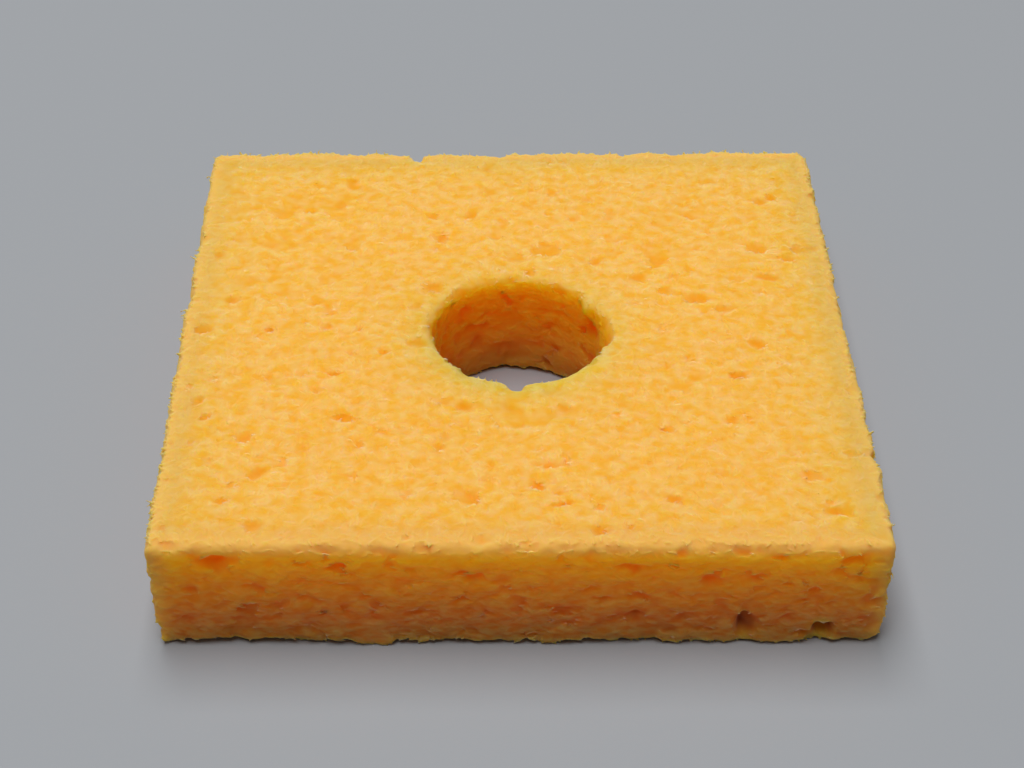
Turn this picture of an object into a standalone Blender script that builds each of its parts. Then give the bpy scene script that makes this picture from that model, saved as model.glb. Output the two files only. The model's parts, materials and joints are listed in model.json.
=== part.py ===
"""A cleaning sponge for a soldering iron: a square slab of cellulose foam with a round hole through it.

Metres, +Z up. The origin is at the centre of the underside, +X runs to the right and +Y to the back.
"""

import math

import bmesh
import bpy
from mathutils import Vector

# Driving dimensions of the die-cut slab
SIDE = 0.060                 # width and depth of the slab
THICKNESS = 0.0108           # height of the swollen foam
BACK_FALL = 0.0009           # the back side is out of square: its left end lies this much nearer
CORNER_RADIUS = 0.0007       # rounding of the four upright corners
RIM_BEVEL = 0.0004           # softening of every edge of the two flat faces
HOLE_DIAMETER = 0.0156       # a 5/8 in punch, and the foam closes in a little
HOLE_CENTRE = (0.0002, -0.0004)

# Fineness of the round stretches
CORNER_STEPS = 4
HOLE_STEPS = 64
BEVEL_STEPS = 2
BEVEL_ANGLE = math.radians(60)

FOAM_COLOUR = (0.91, 0.45, 0.10, 1.0)
FOAM_ROUGHNESS = 0.95


def clear_scene():
    for thing in list(bpy.data.objects):
        bpy.data.objects.remove(thing, do_unlink=True)


def foam_material():
    """Dry cellulose foam: matt yellow-orange."""
    material = bpy.data.materials.new("cellulose_foam")
    material.use_nodes = True
    shader = material.node_tree.nodes["Principled BSDF"]
    shader.inputs["Base Color"].default_value = FOAM_COLOUR
    shader.inputs["Roughness"].default_value = FOAM_ROUGHNESS
    shader.inputs["Metallic"].default_value = 0.0
    return material


def slab_corners():
    """The slab's four plan corners, anticlockwise from front left."""
    half = SIDE / 2
    return [
        Vector((-half, -half)),
        Vector((half, -half)),
        Vector((half, half)),
        Vector((-half, half - BACK_FALL)),
    ]


def rounded_corner(before, corner, after):
    """Points of the arc that rounds one corner, tangent to both of its sides."""
    to_before = (before - corner).normalized()
    to_after = (after - corner).normalized()
    half_angle = to_before.angle(to_after) / 2
    centre = corner + (to_before + to_after).normalized() * CORNER_RADIUS / math.sin(half_angle)
    reach = CORNER_RADIUS / math.tan(half_angle)
    first = corner + to_before * reach - centre
    last = corner + to_after * reach - centre
    turn = last.angle_signed(first)
    start = math.atan2(first.y, first.x)
    points = []
    for step in range(CORNER_STEPS + 1):
        angle = start + turn * step / CORNER_STEPS
        points.append(centre + CORNER_RADIUS * Vector((math.cos(angle), math.sin(angle))))
    return points


def slab_outline():
    corners = slab_corners()
    outline = []
    for index, corner in enumerate(corners):
        outline += rounded_corner(corners[index - 1], corner, corners[(index + 1) % len(corners)])
    return outline


def hole_outline():
    radius = HOLE_DIAMETER / 2
    outline = []
    for step in range(HOLE_STEPS):
        angle = 2 * math.pi * step / HOLE_STEPS
        x = HOLE_CENTRE[0] + radius * math.cos(angle)
        y = HOLE_CENTRE[1] + radius * math.sin(angle)
        outline.append(Vector((x, y)))
    return outline


def add_loop(mesh, outline):
    """A closed loop of edges on the underside's plane."""
    verts = [mesh.verts.new((point.x, point.y, 0.0)) for point in outline]
    return [mesh.edges.new((verts[index - 1], verts[index])) for index in range(len(verts))]


def build_sponge():
    mesh = bmesh.new()
    edges = add_loop(mesh, slab_outline()) + add_loop(mesh, hole_outline())
    bmesh.ops.triangle_fill(mesh, edges=edges, use_beauty=True, use_dissolve=False)
    underside = list(mesh.faces)
    raised = bmesh.ops.extrude_face_region(mesh, geom=underside, use_keep_orig=True)
    top = [item for item in raised["geom"] if isinstance(item, bmesh.types.BMVert)]
    bmesh.ops.translate(mesh, verts=top, vec=(0.0, 0.0, THICKNESS))
    bmesh.ops.recalc_face_normals(mesh, faces=mesh.faces)
    data = bpy.data.meshes.new("cleaning_sponge")
    mesh.to_mesh(data)
    mesh.free()
    data.shade_smooth()
    data.set_sharp_from_angle(angle=BEVEL_ANGLE)
    data.materials.append(foam_material())
    sponge = bpy.data.objects.new("cleaning_sponge", data)
    bpy.context.scene.collection.objects.link(sponge)
    bevel = sponge.modifiers.new("rim_softening", "BEVEL")
    bevel.width = RIM_BEVEL
    bevel.segments = BEVEL_STEPS
    bevel.limit_method = "ANGLE"
    bevel.angle_limit = BEVEL_ANGLE
    return sponge


clear_scene()
build_sponge()
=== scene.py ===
"""Looks of the soldering iron cleaning sponge: one block of open-pored cellulose foam on a plain table.

The foam is a solid worked out on a fine grid: the slab with its hole, less some thousands of shallow
pores in its faces, plus some tens of thousands of short fibres that lie on them as a nap. Its surface
is then read off as one closed mesh. Lengths are in millimetres up to that mesh, which is in metres.
"""

import functools
import json
import math

import bpy
import numpy as np
import openvdb
from mathutils import Euler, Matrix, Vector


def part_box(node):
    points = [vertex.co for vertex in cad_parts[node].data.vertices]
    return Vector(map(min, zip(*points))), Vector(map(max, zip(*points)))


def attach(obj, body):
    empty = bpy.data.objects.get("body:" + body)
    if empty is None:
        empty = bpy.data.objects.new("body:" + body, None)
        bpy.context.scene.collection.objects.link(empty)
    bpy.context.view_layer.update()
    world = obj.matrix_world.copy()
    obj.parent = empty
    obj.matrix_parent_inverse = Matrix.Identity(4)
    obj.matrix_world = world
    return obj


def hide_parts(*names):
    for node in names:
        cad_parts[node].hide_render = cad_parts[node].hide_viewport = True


NODE = "cleaning_sponge"
MM = 0.001

# The slab's outline and hole, as the design has them
BACK_FALL = 0.9              # the back side's left end lies this much nearer
HOLE_RADIUS = 7.8
EDGE_ROUNDING = 0.9          # softness of the upright edges
LIP_ROUNDING = 1.0           # softness of the edges along the top
RIM_ROUNDING = 1.0           # softness of the hole's upper rim
FOOT_ROUNDING = 0.8          # softness of the edges along the underside
SIDE_FLARE = 0.45            # the left and right sides lean out this much from foot to top
FRONT_FUZZ = 0.60            # the front side's nap stands this much proud of the plain shape
BACK_FUZZ = 0.90             # and that of the back side
WALL_FUZZ = 0.12             # and that of the hole's wall
NAP_HEIGHT = 0.08            # how far the fibres stand over the ground that they lie on

# The foam's grid
CELL = 0.12
AIR = 1.3                    # empty margin around the slab
TOP_SLACK = 0.50             # the nap may stand this much over the slab
SEED = 20

# Unevenness of the foam: how strong, and its spacing along X, Y and Z
BROAD_BUMPS = [(0.04, (6.0, 6.0, 6.0)), (0.035, (1.2, 1.2, 1.2))]
LAYERED_BUMPS = (0.05, (0.9, 0.9, 0.30))     # only within reach of the cut sides, below the lip
LAYERED_BELOW = (0.5, 1.5)                   # where they set in below the top
LAYERED_REACH = (0.5, 1.0)                   # and where they end behind a cut side
FINE_BUMPS = (0.022, (0.35, 0.35, 0.35))
WARP = (0.16, 0.16, 0.07)                    # shifts along each axis that make the pores uneven
WARP_SPACING = (0.9, 0.9, 0.9)

FLAT_FACES = ("top", "underside")
CUT_FACES = ("front", "back", "left", "right")

# Pores by face: how many on a square millimetre, half widths, height over width, and half depths
FLAT_PORES = [
    {"per_mm2": 0.012, "half_width": (0.40, 0.75), "flatness": (0.6, 1.0), "half_depth": (0.26, 0.38)},
    {"per_mm2": 0.10, "half_width": (0.25, 0.45), "flatness": (0.6, 1.0), "half_depth": (0.14, 0.22)},
]
CUT_PORES = [
    {"per_mm2": 0.16, "half_width": (0.35, 0.70), "flatness": (0.30, 0.45), "half_depth": (0.22, 0.34)},
    {"per_mm2": 0.60, "half_width": (0.22, 0.45), "flatness": (0.40, 0.60), "half_depth": (0.14, 0.24)},
]
WALL_PORES = [
    {"per_mm2": 0.16, "half_width": (0.40, 0.80), "flatness": (0.35, 0.60), "half_depth": (0.25, 0.40)},
    {"per_mm2": 0.60, "half_width": (0.22, 0.45), "flatness": (0.50, 0.80), "half_depth": (0.16, 0.26)},
]
FOOT_PITS = {
    "per_mm": 0.30, "half_width": (0.25, 0.9), "half_height": (0.15, 0.38), "half_depth": (0.4, 0.9)
}
LIP_NICKS = {
    "per_mm": 0.10, "half_width": (0.2, 0.5), "half_height": (0.2, 0.4), "half_depth": (0.15, 0.3)
}
PORE_ROUNDING = 0.42
PORE_REACH = 0.45            # a pore's soft lip reaches this far past it
PORE_SHIFT = (-0.3, 0.4)     # how far in or out a pore's middle lies, in half depths
CUT_PORE_SWING = math.radians(16)    # a pore in a cut side lies at most this far off level
SOFTENINGS = 3               # times that the pored foam is averaged over its neighbours

# Larger pores in the top: where each one is, and its widths along X and Y
TOP_PORES = [
    (-15.6, 24.0, 1.0, 2.0), (-16.9, 20.4, 1.2, 1.3), (-22.5, 18.8, 1.6, 1.4), (-4.1, 18.5, 1.1, 1.4),
    (-6.8, 14.8, 1.0, 2.6), (17.3, 18.4, 1.4, 1.2), (24.5, 21.0, 1.0, 1.3), (25.9, 21.6, 0.9, 1.3),
    (3.0, 12.2, 2.6, 1.8), (7.8, 10.4, 1.0, 1.2), (13.7, 10.8, 1.3, 2.2), (23.3, 12.8, 2.2, 1.9),
    (26.9, 12.8, 1.3, 1.5), (26.0, 10.8, 1.6, 1.4), (23.8, 8.0, 1.8, 1.2), (11.5, 7.8, 1.2, 1.6),
    (-7.6, 6.1, 2.2, 1.2), (-28.2, 11.3, 1.1, 1.2), (-26.1, 4.0, 1.6, 1.4), (16.8, 4.3, 2.4, 1.4),
    (19.3, 2.6, 1.6, 1.0), (-28.6, -0.8, 1.4, 1.2), (21.8, -2.5, 1.3, 1.6), (19.8, -7.4, 1.8, 1.2),
    (-16.1, -7.3, 1.2, 1.0), (-28.0, -11.3, 1.4, 1.0), (-26.8, -13.5, 1.0, 0.9), (-23.5, -16.5, 1.5, 1.4),
    (-14.9, -13.7, 2.2, 0.9), (-4.5, -11.8, 1.5, 1.2), (-0.7, -12.3, 1.3, 1.0), (3.9, -12.3, 1.3, 1.0),
    (18.4, -13.8, 1.2, 1.4), (2.6, -20.0, 2.2, 0.9), (1.3, -22.6, 1.2, 1.2), (-4.6, -24.2, 2.4, 1.7),
    (3.2, -24.9, 1.6, 1.0), (12.7, -24.3, 1.2, 1.1), (24.5, -21.3, 1.8, 1.4), (26.0, -25.8, 2.2, 1.2),
    (-21.9, -21.1, 1.2, 1.4), (-21.8, -27.8, 1.3, 1.5), (6.7, -28.4, 1.4, 0.8), (-26.5, -19.5, 1.0, 0.8),
]
TOP_PORE_DEPTH = 0.54

# Pores and torn places on the edges and the front: centres, and half widths along X, Y and Z
TEARS = [
    ((-0.4, -8.4, 10.9), (0.80, 0.9, 2.6)),      # bite out of the hole's front rim
    ((-4.6, -6.9, 10.9), (0.7, 0.8, 0.7)),       # ragged front left of the rim
    ((6.5, -5.7, 10.9), (0.5, 0.5, 0.6)),
    ((7.6, -0.6, 10.7), (0.95, 2.3, 2.0)),       # torn step on its right
    ((-8.6, -2.6, 10.9), (0.95, 0.9, 0.5)),      # pore at its left
    ((-9.4, 30.0, 10.9), (0.75, 1.6, 2.4)),      # notches along the back edge
    ((-1.2, 30.6, 10.9), (0.55, 1.0, 1.8)),
    ((4.3, 30.7, 10.9), (0.45, 0.9, 1.5)),
    ((11.7, 30.7, 10.9), (0.50, 0.9, 1.5)),
    ((-28.4, -29.8, 10.9), (0.9, 0.6, 0.5)),     # front left corner
    ((-24.6, -30.5, 9.2), (1.9, 0.8, 0.55)),     # long cavity under the front lip
    ((-17.8, -30.5, 8.9), (0.9, 0.5, 0.25)),
    ((-15.2, -30.5, 8.4), (0.8, 0.5, 0.25)),
    ((-22.0, -30.5, 4.3), (1.0, 0.5, 0.30)),
    ((8.3, -30.5, 8.5), (0.9, 0.5, 0.30)),
    ((15.3, -30.5, 7.0), (0.9, 0.5, 0.28)),
    ((6.8, -30.5, 5.0), (0.8, 0.5, 0.28)),
    ((9.5, -30.5, 3.0), (1.1, 0.6, 0.45)),
    ((26.8, -30.5, 9.2), (0.9, 0.6, 0.40)),
    ((18.4, -30.5, 2.3), (1.0, 1.1, 1.4)),       # big pores low on the front
    ((25.1, -30.5, 1.6), (0.9, 1.7, 0.8)),
    ((-27.8, -30.5, 0.1), (0.8, 0.8, 0.40)),     # pits along the front's foot
    ((-23.6, -30.5, 0.1), (0.7, 0.8, 0.35)),
    ((-20.8, -30.5, 0.1), (0.8, 0.8, 0.40)),
    ((5.4, -30.5, 0.1), (1.4, 0.8, 0.40)),
]

# Where the foam swells into the hole: centres and half widths along X, Y and Z
SWELLS = [
    ((6.9, 4.4, 9.9), (0.8, 1.8, 0.8)),
]

# Fibres by face: how many on a square millimetre, their lengths and radii, how far off level they lie, and
# how unevenly they are raised
FLAT_FIBRES = {
    "per_mm2": 7.0, "length": (0.4, 1.0), "radius": (0.07, 0.11), "swing": math.pi / 2, "lift": 0.03
}
CUT_FIBRES = {
    "per_mm2": 4.5, "length": (0.5, 1.5), "radius": (0.065, 0.09), "swing": math.radians(38), "lift": 0.02
}
WALL_FIBRES = {
    "per_mm2": 6.0, "length": (0.5, 1.5), "radius": (0.07, 0.10), "swing": math.radians(50), "lift": 0.04
}
FIBRE_STEPS = 20             # balls in a fibre
FIBRE_BEND = 0.5             # spread of the sideways curve, in lengths
FIBRE_DROOP = 0.1            # the ends lie a quarter of this, in lengths, below the middle
FIBRE_HOLD = (-0.10, -0.28)  # the ground may lie this far under a fibre's middle, and under its ends
FIBRE_SETTLE = (-0.15, 0.2)  # how far a fibre moves down or up to its ground
FIBRE_TAPER = 0.5            # how much of its radius a fibre loses at its ends
FIBRE_ROUNDING = 0.04        # softness of the joint between fibres and ground

# Upright fibres along the upper edges: how far in from the side and below the top each one is rooted, and
# how far it leans out, along the edge and up
TUFTS = {"per_mm": 12.0, "length": (0.4, 1.1), "radius": (0.06, 0.085)}
TUFT_ROOTS = {"in": (0.1, 0.6), "below": (0.1, 0.5)}
TUFT_LEAN = {"out": (0.3, 1.0), "along": 0.7, "up": (0.0, 1.2)}
TUFT_TAPER = 0.4             # how much of its radius a tuft's fibre loses at its tip
TUFTED_FACES = ("back", "left", "right")

# Where the colour masks fade, in millimetres
FADES = {
    "thread": (-0.12, 0.02),     # depth inside a fibre
    "pit": (0.14, 0.44),         # depth below the plain shape
    "deep": (0.45, 1.3),
    "hole": (0.4, 1.2),          # distance from the hole's wall
    "rim": (0.2, 1.5),           # distance from an upper edge
    "corner": (0.2, 2.0),        # distance from an upright edge
    "border": (0.5, 3.5),        # distance from the four sides
    "cut": (0.2, 1.5),           # how much nearer a cut face is than a flat one
}
HOLE_RIM_LOSS = 0.8          # the rim's mask ends this much nearer the edge in the hole
HOLE_CUT_GAIN = 0.7          # the hole's wall counts as this much nearer
LAYOUT_MARGIN = 0.9          # free strip around each face on the flat layout

# Foam colours, as reflectances. CREAM and AMBER are the foam's own; the others paint light and shade into
# it, some of them in part, as said above each.
CREAM = (0.965, 0.50, 0.134)
AMBER = (0.962, 0.405, 0.026)
# Painted light: paler near the four sides of the top and underside, standing in for light that scatters out
# of the foam near its edges
BORDER_PAINTED_PALE = (0.84, 0.395, 0.095)
# Partly the paler fuzz along the upper edges, partly a painted highlight where they catch the light
RIM_FUZZ_AND_HIGHLIGHT = (0.80, 0.475, 0.115)
# Painted light and shade on the hole's rim: lit cream where it faces up, shaded orange where it faces
# sideways, the orange standing in for the glow of light through the foam
INNER_RIM_LIT_CREAM = (0.96, 0.44, 0.110)        # the hole's rim where it faces up
INNER_RIM_SHADED_ORANGE = (0.985, 0.31, 0.006)        # and where it faces sideways
# Painted light: paler along the upright edges, standing in for light that scatters out of the foam there
CORNER_PAINTED_PALE = (0.84, 0.42, 0.070)
# Painted light in the pores: a saturated orange glow standing in for light that bounces in them and shines
# through the foam; low on the cut faces it turns to a painted shade
PORE_GLOW_ORANGE = (0.965, 0.385, 0.008)
CUT_PORE = (0.965, 0.255, 0.004)
LOW_PORE_SHADE = (0.70, 0.15, 0.012)
# Painted shade in the deep pits low on the cut faces
DEEP_PIT_SHADE_BROWN = (0.26, 0.045, 0.010)
# Lit and shaded copies of the cut faces' colours: near the top a painted glow of light that comes through
# the foam from the lit top, low down a painted shade
HIGH_THREAD_GLOW = (0.985, 0.475, 0.012)
HIGH_GROUND_GLOW = (0.985, 0.415, 0.002)
LOW_THREAD_SHADE = (0.79, 0.265, 0.055)
LOW_GROUND_SHADE = (0.79, 0.156, 0.010)
# Painted light in the hole's wall: a brighter, more saturated glow than on the outer faces, standing in for
# light that bounces in the hole and shines through the foam, and a painted shade towards its foot
HOLE_THREAD_GLOW = (0.999, 0.485, 0.010)
HOLE_GROUND_GLOW = (0.999, 0.385, 0.001)
HOLE_FOOT_SHADE = (0.96, 0.235, 0.032)

# How strongly each colour covers the one under it
BORDER_SHARE = 0.6
CORNER_SHARE = 0.7
HOLE_SHARE = 0.8
RIM_SHARE = 0.6
PIT_SHARES = (0.7, 0.42)                 # in the flat faces, in the cut ones
FLAT_TONES = (0.42, 0.55)                # between ground and thread
CUT_TONES = (0.30, 0.66)
# Painted light by facing on the hole's rim, from shaded orange to lit cream
INNER_RIM_SLOPES = (0.2, 0.8)            # how far up the hole's rim faces, from orange to cream

# Heights over the table between which the cut faces' colours change, from painted glow above to painted
# shade below, in metres
WALL_HEIGHTS = (0.003, 0.0095)
HOLE_HEIGHTS = (0.0005, 0.0065)
LOW_PIT_SHADE_HEIGHTS = (0.0025, 0.0050)
FOOT_HEIGHTS = (0.0003, 0.0018)

# Random changes of colour: scale and detail of the noise, and how far it swings
PATCHES = {"Scale": 950.0, "Detail": 0.8}
PATCH_SWING = 0.4
STREAKS = {"Scale": 2200.0, "Detail": 1.5}
STREAK_STRETCH = (0.45, 0.45, 1.0)       # the streaks lie flat
STREAK_SWING = 0.45
NOISE_RANGE = (0.33, 0.67)
GRAIN = {"Scale": 6000.0, "Detail": 2.0}
GRAIN_BUMP = {"Distance": 0.00005, "Strength": 0.2}
ROUGHNESS = (0.82, 1.0)
SHEEN = {"outside": 0.15, "hole": 0.02}

# Light that scatters inside the foam
SSS_WEIGHT = 0.9
EDGE_SSS_LOSS = 0.15         # off the weight at the edges
LOW_PIT_SHADE_SSS_SHARE = 0.2         # of the weight that is left in the deep pits
SSS_RADIUS = (1.0, 0.5, 0.12)
SSS_SCALE = 0.015            # in metres
EDGE_SSS_SCALE = 0.003

# The studio, in metres, degrees and watts
FLOOR_RADIUS = 0.6
FLOOR_GREY = (0.33, 0.345, 0.365, 1.0)
WORLD_STRENGTH = 0.10
SOFTBOX_HEIGHT = 1.4
SOFTBOX_ANGLES = {"left": 19, "right": 6, "front": 31, "back": 36.5}     # of its sides, off the upright
SOFTBOX_POWER = 24.7
CAMERA_PLACE = (-0.00489, -0.16066, 0.12657)
CAMERA_ANGLES = {"azimuth": 1.646, "pitch": 37.345, "roll": 1.099}
CAMERA_LENS = 76.43


class Slab:
    """The sponge's plain shape, in millimetres: a slab with a round hole through it."""

    def __init__(self, low, high, hole_centre):
        self.low = low
        self.high = high
        self.hole_centre = hole_centre

    def side_distances(self, x, y):
        """Distances inward from the four cut sides and from the hole's wall."""
        fall = self.back_fall(x)
        hole = np.hypot(x - self.hole_centre[0], y - self.hole_centre[1]) - HOLE_RADIUS
        return [x - self.low[0], self.high[0] - x, y - self.low[1], self.high[1] - fall - y, hole]

    def back_fall(self, x):
        return BACK_FALL * (self.high[0] - x) / (self.high[0] - self.low[0])

    def flare(self, z):
        return SIDE_FLARE * (z - self.low[2]) / (self.high[2] - self.low[2])

    def depth(self, x, y, z):
        """Depth below the nearest outer face, negative outside."""
        left, right, front, back, hole = self.side_distances(x, y)
        ends = smooth_min(front + FRONT_FUZZ, back + BACK_FUZZ, EDGE_ROUNDING)
        sides = smooth_min(smooth_min(left, right, EDGE_ROUNDING) + self.flare(z), ends, EDGE_ROUNDING)
        below_top = self.high[2] - z
        block = smooth_min(sides, below_top, LIP_ROUNDING)
        block = np.minimum(block, smooth_min(hole + WALL_FUZZ, below_top, RIM_ROUNDING))
        return smooth_min(block, z - self.low[2], FOOT_ROUNDING)

    def area(self, face):
        width, length, height = self.high - self.low
        areas = {"top": width * length, "underside": width * length, "front": width * height}
        areas.update(back=width * height, left=length * height, right=length * height)
        areas["wall"] = 2 * math.pi * HOLE_RADIUS * height
        return areas[face]

    def places(self, face, across, up):
        """Points at shares across and up one face, with the directions outward and level along it."""
        x, y, z = [a + (b - a) * share for a, b, share in zip(self.low, self.high, (across, up, up))]
        ones, none = np.ones_like(across), np.zeros_like(across)
        if face in FLAT_FACES:
            z = ones * (self.high[2] if face == "top" else self.low[2])
            outward = (none, none, ones if face == "top" else -ones)
            level = (ones, none, none)
        elif face == "front":
            y, outward, level = ones * self.low[1] - FRONT_FUZZ, (none, -ones, none), (ones, none, none)
        elif face == "back":
            y = self.high[1] - self.back_fall(x) + BACK_FUZZ
            outward, level = (none, ones, none), (ones, none, none)
        elif face in ("left", "right"):
            y = self.low[1] + (self.high[1] - self.low[1]) * across
            x = self.low[0] - self.flare(z) if face == "left" else self.high[0] + self.flare(z)
            outward = (-ones if face == "left" else ones, none, none)
            level = (none, ones, none)
        else:
            angle = 2 * math.pi * across
            cosine, sine = np.cos(angle), np.sin(angle)
            radius = HOLE_RADIUS - WALL_FUZZ
            x, y = self.hole_centre[0] + radius * cosine, self.hole_centre[1] + radius * sine
            outward, level = (-cosine, -sine, none), (-sine, cosine, none)
        return np.stack((x, y, z), axis=1), np.stack(outward, axis=1), np.stack(level, axis=1)


def axes_of(slab):
    """Sample positions along X, Y and Z."""
    return [np.arange(a - AIR, b + AIR, CELL, dtype=np.float32) for a, b in zip(slab.low, slab.high)]


def spline_weights(positions, spacing):
    """How much each point of a coarse lattice counts at each position, by a cubic B-spline."""
    steps = (positions - positions[0]) / spacing
    cell = np.floor(steps).astype(int)
    part = steps - cell
    shares = [
        (1 - part) ** 3,
        3 * part**3 - 6 * part**2 + 4,
        -3 * part**3 + 3 * part**2 + 3 * part + 1,
        part**3,
    ]
    weights = np.zeros((len(positions), cell.max() + 4), np.float32)
    for offset, share in enumerate(shares):
        weights[np.arange(len(positions)), cell + offset] = share / 6
    return weights


def smooth_noise(rng, axes, spacing):
    """A smooth random field on the grid with a standard deviation of 1."""
    across, along, up = [spline_weights(axis, step) for axis, step in zip(axes, spacing)]
    lattice = rng.standard_normal((across.shape[1], along.shape[1], up.shape[1]))
    field = np.tensordot(across, lattice.astype(np.float32), 1)
    field = np.matmul(along, field)
    field = np.matmul(field, up.T)
    return field / field.std()


def smooth_min(first, second, rounding):
    """The smaller of two depths, rounded where they are alike."""
    overlap = np.maximum(rounding - np.abs(first - second), 0) / rounding
    return np.minimum(first, second) - overlap**2 * rounding / 4


def random_places(rng, slab, face, count):
    across, up = rng.random((2, count))
    return slab.places(face, across, up)


def turned(outward, level, turn):
    """The level direction turned about the outward one, and the direction square to both."""
    square = np.cross(outward, level)
    cosine, sine = np.cos(turn)[:, None], np.sin(turn)[:, None]
    return level * cosine + square * sine, square * cosine - level * sine


def carve_pore(foam, axes, warped, centre, directions, halves, fill=False):
    """Takes one pore, an ellipsoid with soft lips, out of the foam, or fills it in."""
    reach = np.sqrt(((directions * halves[:, None]) ** 2).sum(axis=0)) + PORE_REACH
    block = tuple(
        slice(*np.searchsorted(axis, (middle - far, middle + far)))
        for axis, middle, far in zip(axes, centre, reach)
    )
    if 0 in foam[block].shape:
        return
    offsets = [warped[k][block] - centre[k] for k in range(3)]
    square = 0
    for direction, half in zip(directions, halves):
        along = sum(offset * part for offset, part in zip(offsets, direction / half))
        square = square + along * along
    wall = (np.sqrt(square) - 1) * halves.min()
    if fill:
        foam[block] = -smooth_min(-foam[block], wall, PORE_ROUNDING)
    else:
        foam[block] = smooth_min(foam[block], wall, PORE_ROUNDING)


def carve_face(rng, foam, axes, warped, slab, face, family):
    """Takes one family of pores out of one face."""
    count = int(slab.area(face) * family["per_mm2"])
    places, outward, level = random_places(rng, slab, face, count)
    narrow, wide = family["half_width"]
    half_width = narrow * (wide / narrow) ** rng.random(count)
    half_height = half_width * rng.uniform(*family["flatness"], count)
    half_depth = rng.uniform(*family["half_depth"], count)
    swing = math.pi if face in FLAT_FACES else CUT_PORE_SWING
    along, square = turned(outward, level, rng.uniform(-swing, swing, count))
    centres = places - outward * (half_depth * rng.uniform(*PORE_SHIFT, count))[:, None]
    for index in range(count):
        directions = np.stack([along[index], square[index], outward[index]])
        halves = np.array([half_width[index], half_height[index], half_depth[index]])
        carve_pore(foam, axes, warped, centres[index], directions, halves)


def nick_edge(rng, foam, axes, warped, slab, face, height, family):
    """Takes small bites out of one edge of a cut face: at its foot or along its top."""
    length = slab.area(face) / (slab.high[2] - slab.low[2])
    count = int(length * family["per_mm"])
    places, outward, level = slab.places(face, rng.random(count), np.full(count, height))
    half_width = rng.uniform(*family["half_width"], count)
    half_height = rng.uniform(*family["half_height"], count)
    half_depth = rng.uniform(*family["half_depth"], count)
    for index in range(count):
        directions = np.stack([level[index], np.cross(outward[index], level[index]), outward[index]])
        halves = np.array([half_width[index], half_height[index], half_depth[index]])
        carve_pore(foam, axes, warped, places[index], directions, halves)


def softened(field):
    """The field averaged a few times over three cells each way, which clears away thin walls."""
    for _ in range(SOFTENINGS):
        for axis in range(3):
            moved = np.moveaxis(field, axis, 0)
            moved = np.concatenate([moved[:1], (moved[:-2] + moved[1:-1] + moved[2:]) / 3, moved[-1:]])
            field = np.moveaxis(moved, 0, axis)
    return field


def sampled(field, axes, points):
    """The field at points in millimetres, by linear interpolation."""
    steps = [(points[:, k] - axes[k][0]) / CELL for k in range(3)]
    cells = [np.clip(np.floor(step).astype(int), 0, len(axis) - 2) for step, axis in zip(steps, axes)]
    parts = [np.clip(step - cell, 0, 1) for step, cell in zip(steps, cells)]
    value = 0
    for corner in range(8):
        offset = (corner & 1, corner >> 1 & 1, corner >> 2)
        weight = 1
        for part, side in zip(parts, offset):
            weight = weight * (part if side else 1 - part)
        value = value + field[tuple(cell + side for cell, side in zip(cells, offset))] * weight
    return value


def add_balls(field, axes, centres, radii):
    """Raises the field to each ball's depth, in the cells around the ball's centre."""
    origin = np.array([axis[0] for axis in axes])
    nearest = np.rint((centres - origin) / CELL).astype(np.int64)
    inside = np.all((nearest > 1) & (nearest < np.array(field.shape) - 2), axis=1)
    centres, radii, nearest = centres[inside], radii[inside], nearest[inside]
    shift = ((centres - origin) / CELL - nearest) * CELL
    _, rows, columns = field.shape
    first = (nearest[:, 0] * rows + nearest[:, 1]) * columns + nearest[:, 2]
    cells = field.reshape(-1)
    for i in range(-2, 3):
        for j in range(-2, 3):
            for k in range(-2, 3):
                gap = (np.array([i, j, k]) * CELL - shift) ** 2
                depth = (radii - np.sqrt(gap.sum(axis=1))).astype(np.float32)
                np.maximum.at(cells, first + (i * rows + j) * columns + k, depth)


def lay_fibres(rng, field, foam, axes, slab, face, family):
    """Lays one face's fibres on the foam, as rows of balls, except where they'd hang in a pore."""
    count = int(slab.area(face) * family["per_mm2"])
    middle, outward, level = random_places(rng, slab, face, count)
    heading, across = turned(outward, level, rng.uniform(-1, 1, count) * family["swing"])
    length = rng.uniform(*family["length"], (count, 1))
    radius = rng.uniform(*family["radius"], count)
    bend = rng.normal(0, FIBRE_BEND, (count, 1)) * length
    lift = rng.normal(0.0, family["lift"], (count, 1))
    ground = sampled(foam, axes, middle - outward * NAP_HEIGHT)
    held = ground > FIBRE_HOLD[0]
    for end in (-0.5, 0.5):
        spots = middle + heading * length * end - outward * NAP_HEIGHT
        held &= sampled(foam, axes, spots) > FIBRE_HOLD[1]
    middle = middle - outward * (NAP_HEIGHT - np.clip(ground, *FIBRE_SETTLE))[:, None]
    middle, outward, heading, across = middle[held], outward[held], heading[held], across[held]
    length, radius, bend, lift = length[held], radius[held], bend[held], lift[held]
    for step in range(FIBRE_STEPS):
        share = step / (FIBRE_STEPS - 1) - 0.5
        spots = middle + heading * length * share + across * bend * (share**2 - 0.08)
        spots = spots + outward * (lift - FIBRE_DROOP * length * share**2)
        add_balls(field, axes, spots, radius * (1 - FIBRE_TAPER * abs(2 * share) ** 3))


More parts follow.
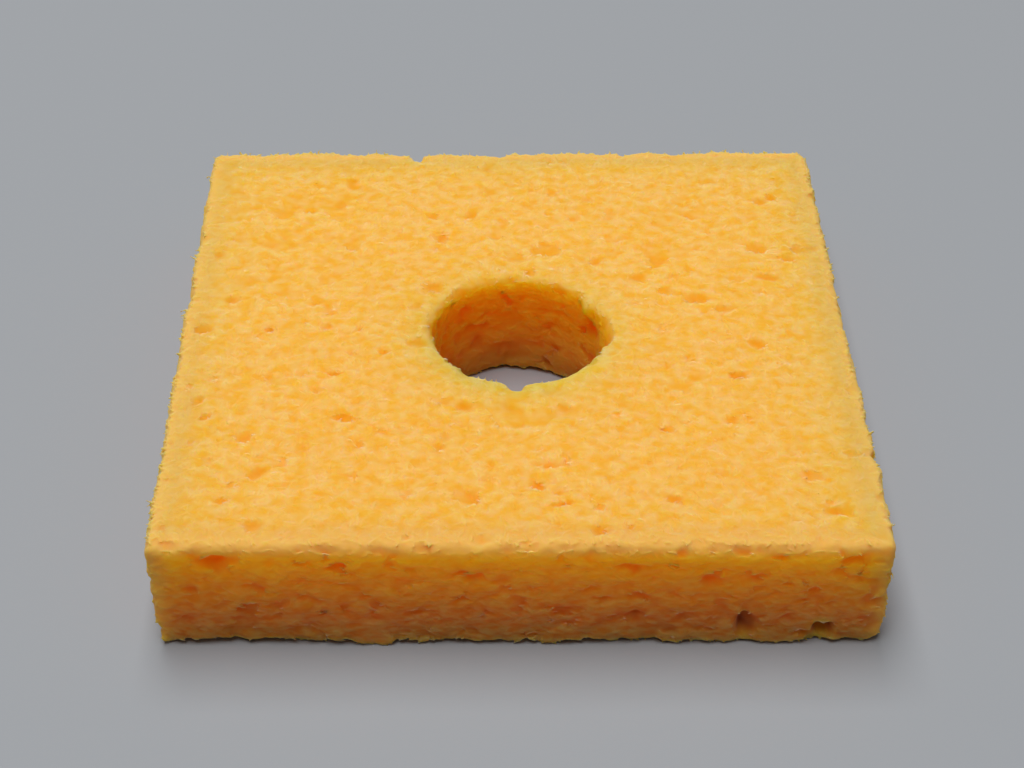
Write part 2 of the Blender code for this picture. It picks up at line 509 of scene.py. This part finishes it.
def raise_tufts(rng, field, foam, axes, slab, face):
    """Short fibres that stand out of the top edge of one cut face."""
    count = int(slab.area(face) / (slab.high[2] - slab.low[2]) * TUFTS["per_mm"])
    place, outward, level = slab.places(face, rng.random(count), np.ones(count))
    place = place - outward * rng.uniform(*TUFT_ROOTS["in"], (count, 1))
    place[:, 2] -= rng.uniform(*TUFT_ROOTS["below"], count)
    heading = outward * rng.uniform(*TUFT_LEAN["out"], (count, 1))
    heading = heading + level * rng.normal(0, TUFT_LEAN["along"], (count, 1))
    heading[:, 2] += rng.uniform(*TUFT_LEAN["up"], count)
    heading /= np.linalg.norm(heading, axis=1, keepdims=True)
    length = rng.uniform(*TUFTS["length"], (count, 1))
    radius = rng.uniform(*TUFTS["radius"], count)
    held = sampled(foam, axes, place) > 0.0
    place, heading, length, radius = place[held], heading[held], length[held], radius[held]
    for step in range(FIBRE_STEPS):
        share = step / (FIBRE_STEPS - 1)
        add_balls(field, axes, place + heading * length * share, radius * (1 - TUFT_TAPER * share))


def foam_field(slab):
    """The foam's depth on the grid, positive inside, and that of its fibres alone."""
    rng = np.random.default_rng(SEED)
    axes = axes_of(slab)
    x, y, z = np.meshgrid(*axes, indexing="ij", sparse=True)
    foam = slab.depth(x, y, z).astype(np.float32) - NAP_HEIGHT
    for strength, spacing in BROAD_BUMPS:
        foam += strength * smooth_noise(rng, axes, spacing)
    from_side = functools.reduce(np.minimum, slab.side_distances(x, y))
    layered = eased(slab.high[2] - z, *LAYERED_BELOW) * (1 - eased(from_side, *LAYERED_REACH))
    strength, spacing = LAYERED_BUMPS
    foam += strength * layered.astype(np.float32) * smooth_noise(rng, axes, spacing)
    warped = [axis + warp * smooth_noise(rng, axes, WARP_SPACING) for axis, warp in zip((x, y, z), WARP)]
    straight = np.eye(3)
    for x_place, y_place, width, length in TOP_PORES:
        halves = np.array([width / 2, length / 2, TOP_PORE_DEPTH])
        carve_pore(foam, axes, warped, (x_place, y_place, slab.high[2]), straight, halves)
    for centre, halves in SWELLS:
        carve_pore(foam, axes, warped, centre, straight, np.array(halves), fill=True)
    for centre, halves in TEARS:
        carve_pore(foam, axes, warped, centre, straight, np.array(halves))
    for face in FLAT_FACES:
        for family in FLAT_PORES:
            carve_face(rng, foam, axes, warped, slab, face, family)
    for face in CUT_FACES:
        for family in CUT_PORES:
            carve_face(rng, foam, axes, warped, slab, face, family)
    for family in WALL_PORES:
        carve_face(rng, foam, axes, warped, slab, "wall", family)
    for face in (*CUT_FACES, "wall"):
        nick_edge(rng, foam, axes, warped, slab, face, 0.0, FOOT_PITS)
        if face != "wall":
            nick_edge(rng, foam, axes, warped, slab, face, 1.0, LIP_NICKS)
    foam = softened(foam)
    strength, spacing = FINE_BUMPS
    foam += strength * smooth_noise(rng, axes, spacing)
    fibres = np.full(foam.shape, -1, np.float32)
    for face in FLAT_FACES:
        lay_fibres(rng, fibres, foam, axes, slab, face, FLAT_FIBRES)
    for face in (*CUT_FACES, "wall"):
        family = WALL_FIBRES if face == "wall" else CUT_FIBRES
        lay_fibres(rng, fibres, foam, axes, slab, face, family)
        if face in TUFTED_FACES:
            raise_tufts(rng, fibres, foam, axes, slab, face)
    foam = -smooth_min(-foam, -fibres, FIBRE_ROUNDING)
    foam = np.minimum(foam, z - slab.low[2])
    foam = np.minimum(foam, slab.high[2] + TOP_SLACK - z)
    return axes, foam, fibres


def largest_piece(count, quads):
    """Which points belong to the largest connected surface."""
    label = np.arange(count)
    while True:
        lowest = label[quads].min(axis=1)
        merged = label.copy()
        for corner in range(4):
            np.minimum.at(merged, quads[:, corner], lowest)
        merged = merged[merged]
        merged = merged[merged]
        if np.array_equal(merged, label):
            break
        label = merged
    return label == np.bincount(label).argmax()


def surface(axes, foam):
    """Points in millimetres and quads of the foam's surface, less any loose specks."""
    grid = openvdb.FloatGrid(1.0)
    grid.copyFromArray(-foam)
    points, _, quads = grid.convertToPolygons(isovalue=0.0, adaptivity=0.0)
    quads = quads.astype(np.int64)
    keep = largest_piece(len(points), quads)
    quads = quads[keep[quads[:, 0]]]
    number = np.cumsum(keep) - 1
    return points[keep] * CELL + np.array([axis[0] for axis in axes]), number[quads]


def eased(value, start, end):
    """0 up to start, 1 from end on, and smooth between."""
    share = np.clip((value - start) / (end - start), 0, 1)
    return share * share * (3 - 2 * share)


def bake_layout(slab, points, quads):
    """Each quad corner's place on a flat layout of the slab's seven faces, in shares of its width.

    The top and the underside lie side by side, the four cut sides in two rows above them, and the hole's
    wall unrolled above those.
    """
    centres = points[quads].mean(axis=1)
    x, y, z = centres.T
    faces = [slab.high[2] - z, z - slab.low[2], *slab.side_distances(x, y)]
    nearest = np.argmin(np.stack(faces), axis=0)[:, None]
    x, y, z = np.moveaxis(points[quads] - slab.low + LAYOUT_MARGIN, 2, 0)
    angle = np.arctan2(*(centres[:, 1::-1] - slab.hole_centre[::-1]).T)[:, None]
    turned_by = np.arctan2(*np.moveaxis(points[quads][:, :, 1::-1] - slab.hole_centre[::-1], 2, 0)) - angle
    turned_by = (turned_by + math.pi) % (2 * math.pi) - math.pi
    around = (angle + turned_by + math.pi) * HOLE_RADIUS + LAYOUT_MARGIN
    width, _, height = slab.high - slab.low + 2 * LAYOUT_MARGIN
    rows = [width, width + height, width + 2 * height]
    across = np.select(
        [nearest == k for k in range(7)], [x, x + width, y, y + width, x, x + width, around]
    )
    up = np.select(
        [nearest == k for k in range(7)],
        [y, y, z + rows[1], z + rows[1], z + rows[0], z + rows[0], z + rows[2]],
    )
    return np.stack([across, up], axis=2) / (2 * width)


def foam_mesh(slab):
    axes, foam, fibres = foam_field(slab)
    points, quads = surface(axes, foam)
    x, y, z = points.T
    sides = slab.side_distances(x, y)
    from_skin = np.minimum(z - slab.low[2], slab.high[2] - z)
    from_side = functools.reduce(np.minimum, sides)
    from_corner = np.partition(np.stack(sides[:4]), 1, axis=0)[1]
    from_rim = np.maximum(slab.high[2] - z, from_side)
    in_hole = 1 - eased(sides[4], *FADES["hole"])
    rim_start, rim_end = FADES["rim"]
    depth = slab.depth(x, y, z)
    masks = {
        "thread": eased(sampled(fibres, axes, points), *FADES["thread"]),
        "pit": eased(depth, *FADES["pit"]),
        "deep": eased(depth, *FADES["deep"]),
        "hole": in_hole,
        "rim": 1 - eased(from_rim, rim_start, rim_end - HOLE_RIM_LOSS * in_hole),
        "corner": 1 - eased(from_corner, *FADES["corner"]),
        "border": 1 - eased(np.min(sides[:4], axis=0), *FADES["border"]),
        "cut": eased(from_skin - from_side + HOLE_CUT_GAIN * in_hole, *FADES["cut"]),
    }
    mesh = bpy.data.meshes.new("foam_block")
    mesh.vertices.add(len(points))
    mesh.vertices.foreach_set("co", (points * MM).astype(np.float32).ravel())
    mesh.loops.add(quads.size)
    mesh.loops.foreach_set("vertex_index", quads.astype(np.int32).ravel())
    mesh.polygons.add(len(quads))
    mesh.polygons.foreach_set("loop_start", np.arange(0, quads.size, 4, dtype=np.int32))
    mesh.update(calc_edges=True)
    mesh.validate()
    mesh.shade_smooth()
    for name, values in masks.items():
        layer = mesh.attributes.new(name, "FLOAT", "POINT")
        layer.data.foreach_set("value", values.astype(np.float32))
    layout = mesh.uv_layers.new(name="OFBake", do_init=False)
    layout.uv.foreach_set("vector", bake_layout(slab, points, quads).astype(np.float32).ravel())
    return mesh


class Nodes:
    """Short calls for building a node tree."""

    def __init__(self, tree):
        self.tree = tree

    def add(self, kind, values=None, **settings):
        node = self.tree.nodes.new(kind)
        for name, value in settings.items():
            setattr(node, name, value)
        for key, value in (values or {}).items():
            if isinstance(value, bpy.types.NodeSocket):
                self.tree.links.new(value, node.inputs[key])
            else:
                node.inputs[key].default_value = value
        return node

    def mask(self, name):
        return self.add("ShaderNodeAttribute", attribute_name=name).outputs["Fac"]

    def math(self, operation, first, second):
        return self.add("ShaderNodeMath", {0: first, 1: second}, operation=operation).outputs[0]

    def span(self, value, start, end, low=0.0, high=1.0):
        values = {"Value": value, "From Min": start, "From Max": end, "To Min": low, "To Max": high}
        return self.add("ShaderNodeMapRange", values).outputs["Result"]

    def mix(self, factor, first, second):
        node = self.add("ShaderNodeMix", data_type="RGBA")
        for name, value in (("Factor", factor), ("A", first), ("B", second)):
            socket = next(s for s in node.inputs if s.name == name and s.enabled)
            if isinstance(value, bpy.types.NodeSocket):
                self.tree.links.new(value, socket)
            elif isinstance(value, tuple):
                socket.default_value = (*value, 1.0)
            else:
                socket.default_value = value
        return next(s for s in node.outputs if s.enabled)


def flat_colour(nodes, place):
    """Cream threads over amber on the top and the underside, painted paler near the four sides where light
    scatters out of the foam.
    """
    thread = nodes.span(nodes.mask("thread"), 0.0, 1.0, *FLAT_TONES)
    patches = nodes.add("ShaderNodeTexNoise", {"Vector": place, **PATCHES})
    swing = nodes.span(patches.outputs["Fac"], *NOISE_RANGE, -PATCH_SWING, PATCH_SWING)
    nap = nodes.mix(nodes.math("ADD", thread, swing), AMBER, CREAM)
    return nodes.mix(nodes.math("MULTIPLY", nodes.mask("border"), BORDER_SHARE), nap, BORDER_PAINTED_PALE)


def cut_colour(nodes, place, height, high):
    """Cut faces in painted light and shade: a painted orange glow near the top that turns to a painted
    brown shade downward, painted paler light at the upright edges, and a brighter painted glow in the hole.
    """
    layered = nodes.add("ShaderNodeMapping", {"Vector": place, "Scale": STREAK_STRETCH}).outputs[0]
    streaks = nodes.add("ShaderNodeTexNoise", {"Vector": layered, **STREAKS})
    swing = nodes.span(streaks.outputs["Fac"], *NOISE_RANGE, -STREAK_SWING, STREAK_SWING)
    tone = nodes.math("ADD", nodes.span(nodes.mask("thread"), 0.0, 1.0, *CUT_TONES), swing)
    # Painted shade low on the cut faces, painted glow near their top
    shaded_low_wall = nodes.mix(tone, LOW_GROUND_SHADE, LOW_THREAD_SHADE)
    glowing_high_wall = nodes.mix(tone, HIGH_GROUND_GLOW, HIGH_THREAD_GLOW)
    wall = nodes.mix(high, shaded_low_wall, glowing_high_wall)
    # Painted paler light along the upright edges
    wall = nodes.mix(nodes.math("MULTIPLY", nodes.mask("corner"), CORNER_SHARE), wall, CORNER_PAINTED_PALE)
    # Painted glow on the hole's wall, turning to painted shade at its foot
    hole_wall_glow_and_shade = nodes.mix(tone, HOLE_GROUND_GLOW, HOLE_THREAD_GLOW)
    hole_wall_glow_and_shade = nodes.mix(nodes.span(height, *HOLE_HEIGHTS), HOLE_FOOT_SHADE, hole_wall_glow_and_shade)
    return nodes.mix(nodes.math("MULTIPLY", nodes.mask("hole"), HOLE_SHARE), wall, hole_wall_glow_and_shade)


def rim_colour(nodes):
    """Cream along the upper edges, partly their fuzz and partly a painted highlight; the hole's rim is a
    painted lit cream where it faces up and turns to a painted shaded orange where it faces sideways.
    """
    normal = nodes.add("ShaderNodeNewGeometry").outputs["Normal"]
    upward = nodes.add("ShaderNodeSeparateXYZ", {"Vector": normal}).outputs["Z"]
    inner_rim_light_and_shade = nodes.mix(nodes.span(upward, *INNER_RIM_SLOPES), INNER_RIM_SHADED_ORANGE, INNER_RIM_LIT_CREAM)
    return nodes.mix(nodes.mask("hole"), RIM_FUZZ_AND_HIGHLIGHT, inner_rim_light_and_shade)


def foam_colour(nodes, place, height, low_pit_shade):
    high = nodes.span(height, *WALL_HEIGHTS)
    colour = nodes.mix(nodes.mask("cut"), flat_colour(nodes, place), cut_colour(nodes, place, height, high))
    # Painted highlight and fuzz along the upper edges, painted light and shade on the hole's rim
    colour = nodes.mix(nodes.math("MULTIPLY", nodes.mask("rim"), RIM_SHARE), colour, rim_colour(nodes))
    # Painted glow in the pores, turning to painted shade low on the cut faces
    pore = nodes.mix(nodes.mask("cut"), PORE_GLOW_ORANGE, nodes.mix(high, LOW_PORE_SHADE, CUT_PORE))
    pit = nodes.math("MULTIPLY", nodes.mask("pit"), nodes.span(nodes.mask("cut"), 0.0, 1.0, *PIT_SHARES))
    # Painted shade in the deep pits low on the cut faces, over all the rest
    return nodes.mix(low_pit_shade, nodes.mix(pit, colour, pore), DEEP_PIT_SHADE_BROWN)


def scatter_light(nodes, shader, height, low_pit_shade):
    """Lets light through the foam, less far at its edges and foot, and hardly in its deep pits."""
    link = nodes.tree.links.new
    edge = nodes.math("MAXIMUM", nodes.mask("rim"), nodes.mask("corner"))
    weight = nodes.span(edge, 0.0, 1.0, SSS_WEIGHT, SSS_WEIGHT - EDGE_SSS_LOSS)
    weight = nodes.math("MAXIMUM", weight, nodes.mask("hole"))
    weight = nodes.math("MULTIPLY", weight, nodes.span(low_pit_shade, 0.0, 1.0, 1.0, LOW_PIT_SHADE_SSS_SHARE))
    link(weight, shader.inputs["Subsurface Weight"])
    edge = nodes.math("SUBTRACT", edge, nodes.mask("hole"))
    edge = nodes.math("MAXIMUM", edge, nodes.span(height, *FOOT_HEIGHTS, 1.0, 0.0))
    link(nodes.span(edge, 0.0, 1.0, SSS_SCALE, EDGE_SSS_SCALE), shader.inputs["Subsurface Scale"])
    shader.inputs["Subsurface Radius"].default_value = SSS_RADIUS


def foam_material():
    material = bpy.data.materials.new("cellulose_foam")
    material.use_nodes = True
    nodes = Nodes(material.node_tree)
    shader = material.node_tree.nodes["Principled BSDF"]
    link = material.node_tree.links.new
    place = nodes.add("ShaderNodeTexCoord").outputs["Object"]
    height = nodes.add("ShaderNodeSeparateXYZ", {"Vector": place}).outputs["Z"]
    # Painted shade: the deep pits low on the cut faces
    low_pit_shade = nodes.math("MULTIPLY", nodes.mask("deep"), nodes.span(height, *LOW_PIT_SHADE_HEIGHTS, 1.0, 0.0))
    low_pit_shade = nodes.math("MULTIPLY", low_pit_shade, nodes.mask("cut"))
    link(foam_colour(nodes, place, height, low_pit_shade), shader.inputs["Base Color"])
    scatter_light(nodes, shader, height, low_pit_shade)
    grain = nodes.add("ShaderNodeTexNoise", {"Vector": place, **GRAIN})
    bump = nodes.add("ShaderNodeBump", {"Height": grain.outputs["Fac"], **GRAIN_BUMP})
    link(bump.outputs["Normal"], shader.inputs["Normal"])
    link(nodes.span(grain.outputs["Fac"], 0.0, 1.0, *ROUGHNESS), shader.inputs["Roughness"])
    sheen = nodes.span(nodes.mask("hole"), 0.0, 1.0, SHEEN["outside"], SHEEN["hole"])
    link(sheen, shader.inputs["Sheen Weight"])
    shader.inputs["Specular IOR Level"].default_value = 0.10
    shader.inputs["Sheen Roughness"].default_value = 0.5
    shader.inputs["Sheen Tint"].default_value = (1.0, 0.86, 0.62, 1.0)
    return material


def build_sponge():
    low, high = [np.array(corner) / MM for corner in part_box(NODE)]
    opening = np.array(frame["record"]["physics"]["openings"][0]["box_m"]) / MM
    mesh = foam_mesh(Slab(low, high, opening.mean(axis=0)[:2]))
    mesh.materials.append(foam_material())
    sponge = bpy.data.objects.new("foam_sponge", mesh)
    bpy.context.scene.collection.objects.link(sponge)
    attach(sponge, "root")
    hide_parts(NODE)


def build_floor():
    bpy.ops.mesh.primitive_circle_add(vertices=96, radius=FLOOR_RADIUS, fill_type="NGON")
    floor = bpy.context.object
    floor.name = "floor"
    material = bpy.data.materials.new("floor_paint")
    material.use_nodes = True
    shader = material.node_tree.nodes["Principled BSDF"]
    shader.inputs["Base Color"].default_value = FLOOR_GREY
    shader.inputs["Roughness"].default_value = 0.7
    shader.inputs["Specular IOR Level"].default_value = 0.2
    floor.data.materials.append(material)


def build_lights():
    """A long overhead softbox running front to back, a little behind and to the left."""
    light = bpy.data.lights.new("softbox", "AREA")
    light.shape = "RECTANGLE"
    reach = {side: SOFTBOX_HEIGHT * math.tan(math.radians(SOFTBOX_ANGLES[side])) for side in SOFTBOX_ANGLES}
    light.size = reach["left"] + reach["right"]
    light.size_y = reach["front"] + reach["back"]
    light.energy = SOFTBOX_POWER
    softbox = bpy.data.objects.new("softbox", light)
    middle = ((reach["right"] - reach["left"]) / 2, (reach["back"] - reach["front"]) / 2)
    softbox.location = (*middle, SOFTBOX_HEIGHT)
    bpy.context.scene.collection.objects.link(softbox)


def build_world():
    world = bpy.data.worlds.new("studio")
    world.use_nodes = True
    world.node_tree.nodes["Background"].inputs["Color"].default_value = (1.0, 1.0, 1.0, 1.0)
    world.node_tree.nodes["Background"].inputs["Strength"].default_value = WORLD_STRENGTH
    bpy.context.scene.world = world
    bpy.context.scene.view_settings.view_transform = "Standard"


def build_camera():
    data = bpy.data.cameras.new("camera")
    data.lens = CAMERA_LENS
    data.clip_start = 0.01
    camera = bpy.data.objects.new("camera", data)
    azimuth, pitch, roll = (math.radians(CAMERA_ANGLES[turn]) for turn in ("azimuth", "pitch", "roll"))
    camera.location = CAMERA_PLACE
    turn = Euler((math.pi / 2 - pitch, 0, -azimuth)).to_matrix()
    camera.rotation_euler = (turn @ Euler((0, 0, roll)).to_matrix()).to_euler()
    bpy.context.scene.collection.objects.link(camera)
    bpy.context.scene.camera = camera


with open("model.json") as file:
    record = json.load(file)
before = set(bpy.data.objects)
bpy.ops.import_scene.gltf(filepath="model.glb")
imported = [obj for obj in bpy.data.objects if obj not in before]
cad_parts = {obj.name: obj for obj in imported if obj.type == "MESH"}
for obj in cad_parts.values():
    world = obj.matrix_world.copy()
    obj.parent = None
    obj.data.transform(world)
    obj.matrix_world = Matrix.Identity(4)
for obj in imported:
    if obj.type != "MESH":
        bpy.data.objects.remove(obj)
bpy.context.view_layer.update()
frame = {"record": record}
build_camera()
build_world()
build_lights()
build_floor()
build_sponge()
